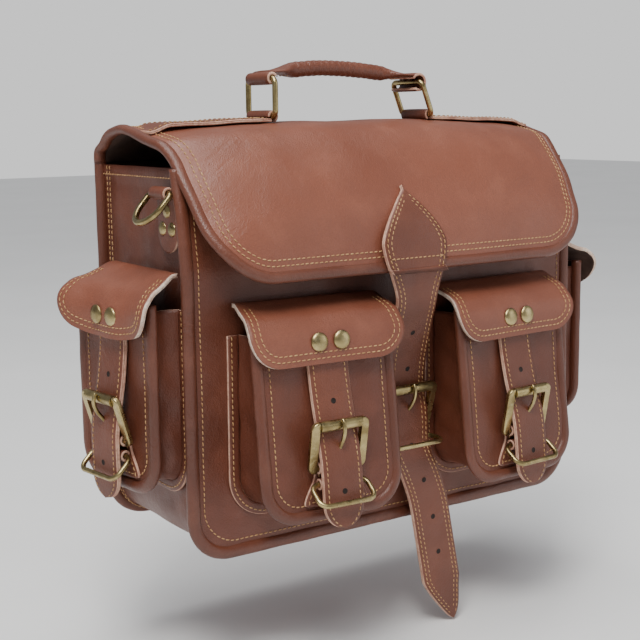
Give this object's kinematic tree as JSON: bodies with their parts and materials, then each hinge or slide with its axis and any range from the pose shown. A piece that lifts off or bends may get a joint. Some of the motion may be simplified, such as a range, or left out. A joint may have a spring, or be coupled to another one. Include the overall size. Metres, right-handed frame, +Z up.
{
  "type": "motorcycle saddlebag",
  "caption": "Leather motorcycle saddlebag with buckled flap, buckled front and side pockets, carrying handle and side rings.",
  "frame": {"origin": "centre of the four mounting eyelets, on the back face", "axes": "+X to the bag's right seen from its front, -Y towards its front, +Z up"},
  "size_m": [0.4437, 0.1961, 0.4227],
  "materials": {
    "leather": "smooth waxed leather with fine grain, satin",
    "strap_leather": "two layers of smooth leather with pale cut edges, satin",
    "brass": "antique brass, polished on its edges and dark in its corners",
    "board": "black stiffener board"
  },
  "bodies": {
    "bag": {"front_panel": "leather", "gusset": "leather", "back_panel": "leather", "panel_bindings": "leather", "base_board": "board", "back_board": "board", "mount_eyelets": "brass", "body_rivets": "brass", "d_ring_tabs": "strap_leather", "buckle_chapes": "strap_leather", "left_front_pocket_gusset": "leather", "left_front_pocket_face": "leather", "right_front_pocket_gusset": "leather", "right_front_pocket_face": "leather", "left_side_pocket_gusset": "leather", "left_side_pocket_face": "leather", "right_side_pocket_gusset": "leather", "right_side_pocket_face": "leather"},
    "main_flap": {"main_flap": "leather", "main_flap_binding": "leather", "handle_straps": "strap_leather", "centre_strap": "strap_leather"},
    "left_handle_ring": {"left_handle_ring": "brass"},
    "right_handle_ring": {"right_handle_ring": "brass"},
    "handle_grip": {"handle_grip": "strap_leather"},
    "left_d_ring": {"left_d_ring": "brass"},
    "right_d_ring": {"right_d_ring": "brass"},
    "left_front_pocket_flap": {"left_front_pocket_flap": "leather", "left_front_pocket_strap": "strap_leather", "left_front_pocket_rivets": "brass"},
    "right_front_pocket_flap": {"right_front_pocket_flap": "leather", "right_front_pocket_strap": "strap_leather", "right_front_pocket_rivets": "brass"},
    "left_side_pocket_flap": {"left_side_pocket_flap": "leather", "left_side_pocket_strap": "strap_leather", "left_side_pocket_rivets": "brass"},
    "right_side_pocket_flap": {"right_side_pocket_flap": "leather", "right_side_pocket_strap": "strap_leather", "right_side_pocket_rivets": "brass"},
    "left_front_pocket_buckle_frame": {"left_front_pocket_buckle_frame": "brass"},
    "left_front_pocket_buckle_roller": {"left_front_pocket_buckle_roller": "brass"},
    "left_front_pocket_buckle_prong": {"left_front_pocket_buckle_prong": "brass"},
    "left_front_pocket_keeper": {"left_front_pocket_keeper": "brass"},
    "right_front_pocket_buckle_frame": {"right_front_pocket_buckle_frame": "brass"},
    "right_front_pocket_buckle_roller": {"right_front_pocket_buckle_roller": "brass"},
    "right_front_pocket_buckle_prong": {"right_front_pocket_buckle_prong": "brass"},
    "right_front_pocket_keeper": {"right_front_pocket_keeper": "brass"},
    "left_side_pocket_buckle_frame": {"left_side_pocket_buckle_frame": "brass"},
    "left_side_pocket_buckle_roller": {"left_side_pocket_buckle_roller": "brass"},
    "left_side_pocket_buckle_prong": {"left_side_pocket_buckle_prong": "brass"},
    "left_side_pocket_keeper": {"left_side_pocket_keeper": "brass"},
    "right_side_pocket_buckle_frame": {"right_side_pocket_buckle_frame": "brass"},
    "right_side_pocket_buckle_roller": {"right_side_pocket_buckle_roller": "brass"},
    "right_side_pocket_buckle_prong": {"right_side_pocket_buckle_prong": "brass"},
    "right_side_pocket_keeper": {"right_side_pocket_keeper": "brass"},
    "main_buckle_frame": {"main_buckle_frame": "brass"},
    "main_buckle_roller": {"main_buckle_roller": "brass"},
    "main_buckle_prong": {"main_buckle_prong": "brass"},
    "main_keeper": {"main_keeper": "brass"}
  },
  "joints": [
    {"name": "main_flap_hinge", "type": "hinge", "parent": "bag", "child": "main_flap", "pos_m": [0, 0, 0.12], "axis": [-1, 0, 0], "range_deg": [0, 105], "deforming": ["centre_strap"]},
    {"name": "left_handle_ring_swing", "type": "hinge", "parent": "main_flap", "child": "left_handle_ring", "pos_m": [-0.072, -0.065, 0.15115], "axis": [0, 1, 0], "range_deg": [-12, 12]},
    {"name": "right_handle_ring_swing", "type": "hinge", "parent": "main_flap", "child": "right_handle_ring", "pos_m": [0.072, -0.065, 0.15115], "axis": [0, 1, 0], "range_deg": [-12, 12]},
    {"name": "handle_grip_pivot", "type": "hinge", "parent": "left_handle_ring", "child": "handle_grip", "pos_m": [-0.072, -0.065, 0.17815], "axis": [0, 1, 0], "range_deg": [-12, 12]},
    {"name": "left_d_ring_swing", "type": "hinge", "parent": "bag", "child": "left_d_ring", "pos_m": [-0.176, -0.105, 0.102], "axis": [0, 1, 0], "range_deg": [-30, 85]},
    {"name": "right_d_ring_swing", "type": "hinge", "parent": "bag", "child": "right_d_ring", "pos_m": [0.176, -0.105, 0.102], "axis": [0, -1, 0], "range_deg": [-30, 85]},
    {"name": "left_front_pocket_flap_hinge", "type": "hinge", "parent": "bag", "child": "left_front_pocket_flap", "pos_m": [-0.08492, -0.136, 0.02894], "axis": [-1, 0, 0], "range_deg": [0, 40], "deforming": ["left_front_pocket_strap"]},
    {"name": "right_front_pocket_flap_hinge", "type": "hinge", "parent": "bag", "child": "right_front_pocket_flap", "pos_m": [0.08492, -0.136, 0.02894], "axis": [-1, 0, 0], "range_deg": [0, 40], "deforming": ["right_front_pocket_strap"]},
    {"name": "left_side_pocket_flap_hinge", "type": "hinge", "parent": "bag", "child": "left_side_pocket_flap", "pos_m": [-0.176, -0.076, 0.048], "axis": [0, 1, 0], "range_deg": [0, 75], "deforming": ["left_side_pocket_strap"]},
    {"name": "right_side_pocket_flap_hinge", "type": "hinge", "parent": "bag", "child": "right_side_pocket_flap", "pos_m": [0.176, -0.0725, 0.048], "axis": [0, -1, 0], "range_deg": [0, 75], "deforming": ["right_side_pocket_strap"]},
    {"name": "left_front_pocket_buckle_hinge", "type": "hinge", "parent": "bag", "child": "left_front_pocket_buckle_frame", "pos_m": [-0.08605, -0.17578, -0.08264], "axis": [0.9981, -0.061, 0], "range_deg": [0, 40]},
    {"name": "left_front_pocket_roller_spin", "type": "hinge", "parent": "left_front_pocket_buckle_frame", "child": "left_front_pocket_buckle_roller", "pos_m": [-0.08637, -0.18108, -0.05312], "axis": [0.9981, -0.061, 0], "continuous": true},
    {"name": "left_front_pocket_prong_hinge", "type": "hinge", "parent": "left_front_pocket_buckle_frame", "child": "left_front_pocket_buckle_prong", "pos_m": [-0.08605, -0.17578, -0.08264], "axis": [0.9981, -0.061, 0], "range_deg": [0, 32]},
    {"name": "left_front_pocket_keeper_swing", "type": "hinge", "parent": "bag", "child": "left_front_pocket_keeper", "pos_m": [-0.08613, -0.17708, -0.09357], "axis": [-0.9981, 0.061, 0], "range_deg": [-6, 25]},
    {"name": "right_front_pocket_buckle_hinge", "type": "hinge", "parent": "bag", "child": "right_front_pocket_buckle_frame", "pos_m": [0.08605, -0.17578, -0.08264], "axis": [0.9981, 0.061, 0], "range_deg": [0, 40]},
    {"name": "right_front_pocket_roller_spin", "type": "hinge", "parent": "right_front_pocket_buckle_frame", "child": "right_front_pocket_buckle_roller", "pos_m": [0.08637, -0.18108, -0.05312], "axis": [0.9981, 0.061, 0], "continuous": true},
    {"name": "right_front_pocket_prong_hinge", "type": "hinge", "parent": "right_front_pocket_buckle_frame", "child": "right_front_pocket_buckle_prong", "pos_m": [0.08605, -0.17578, -0.08264], "axis": [0.9981, 0.061, 0], "range_deg": [0, 32]},
    {"name": "right_front_pocket_keeper_swing", "type": "hinge", "parent": "bag", "child": "right_front_pocket_keeper", "pos_m": [0.08613, -0.17708, -0.09357], "axis": [-0.9981, -0.061, 0], "range_deg": [-6, 25]},
    {"name": "left_side_pocket_buckle_hinge", "type": "hinge", "parent": "bag", "child": "left_side_pocket_buckle_frame", "pos_m": [-0.20415, -0.07672, -0.065], "axis": [0.1392, -0.9903, 0], "range_deg": [0, 40]},
    {"name": "left_side_pocket_roller_spin", "type": "hinge", "parent": "left_side_pocket_buckle_frame", "child": "left_side_pocket_buckle_roller", "pos_m": [-0.21283, -0.07794, -0.03631], "axis": [0.1392, -0.9903, 0], "continuous": true},
    {"name": "left_side_pocket_prong_hinge", "type": "hinge", "parent": "left_side_pocket_buckle_frame", "child": "left_side_pocket_buckle_prong", "pos_m": [-0.20415, -0.07672, -0.065], "axis": [0.1392, -0.9903, 0], "range_deg": [0, 32]},
    {"name": "left_side_pocket_keeper_swing", "type": "hinge", "parent": "bag", "child": "left_side_pocket_keeper", "pos_m": [-0.20415, -0.07672, -0.076], "axis": [-0.1392, 0.9903, 0], "range_deg": [-6, 25]},
    {"name": "right_side_pocket_buckle_hinge", "type": "hinge", "parent": "bag", "child": "right_side_pocket_buckle_frame", "pos_m": [0.20417, -0.07196, -0.065], "axis": [-0.1045, 0.9945, 0], "range_deg": [0, 40]},
    {"name": "right_side_pocket_roller_spin", "type": "hinge", "parent": "right_side_pocket_buckle_frame", "child": "right_side_pocket_buckle_roller", "pos_m": [0.2129, -0.07104, -0.03631], "axis": [-0.1045, 0.9945, 0], "continuous": true},
    {"name": "right_side_pocket_prong_hinge", "type": "hinge", "parent": "right_side_pocket_buckle_frame", "child": "right_side_pocket_buckle_prong", "pos_m": [0.20417, -0.07196, -0.065], "axis": [-0.1045, 0.9945, 0], "range_deg": [0, 32]},
    {"name": "right_side_pocket_keeper_swing", "type": "hinge", "parent": "bag", "child": "right_side_pocket_keeper", "pos_m": [0.20417, -0.07196, -0.076], "axis": [0.1045, -0.9945, 0], "range_deg": [-6, 25]},
    {"name": "main_buckle_hinge", "type": "hinge", "parent": "bag", "child": "main_buckle_frame", "pos_m": [0.003, -0.1352, -0.076], "axis": [1, 0, 0], "range_deg": [0, 40]},
    {"name": "main_roller_spin", "type": "hinge", "parent": "main_buckle_frame", "child": "main_buckle_roller", "pos_m": [0.003, -0.14397, -0.04731], "axis": [1, 0, 0], "continuous": true},
    {"name": "main_prong_hinge", "type": "hinge", "parent": "main_buckle_frame", "child": "main_buckle_prong", "pos_m": [0.003, -0.1352, -0.076], "axis": [1, 0, 0], "range_deg": [0, 32]},
    {"name": "main_keeper_swing", "type": "hinge", "parent": "bag", "child": "main_keeper", "pos_m": [0.003, -0.1352, -0.087], "axis": [-1, 0, 0], "range_deg": [-40, 0]}
  ],
  "couplings": [
    {"joint": "right_handle_ring_swing", "follows": "left_handle_ring_swing", "ratio": 1},
    {"joint": "handle_grip_pivot", "follows": "left_handle_ring_swing", "ratio": -1}
  ]
}
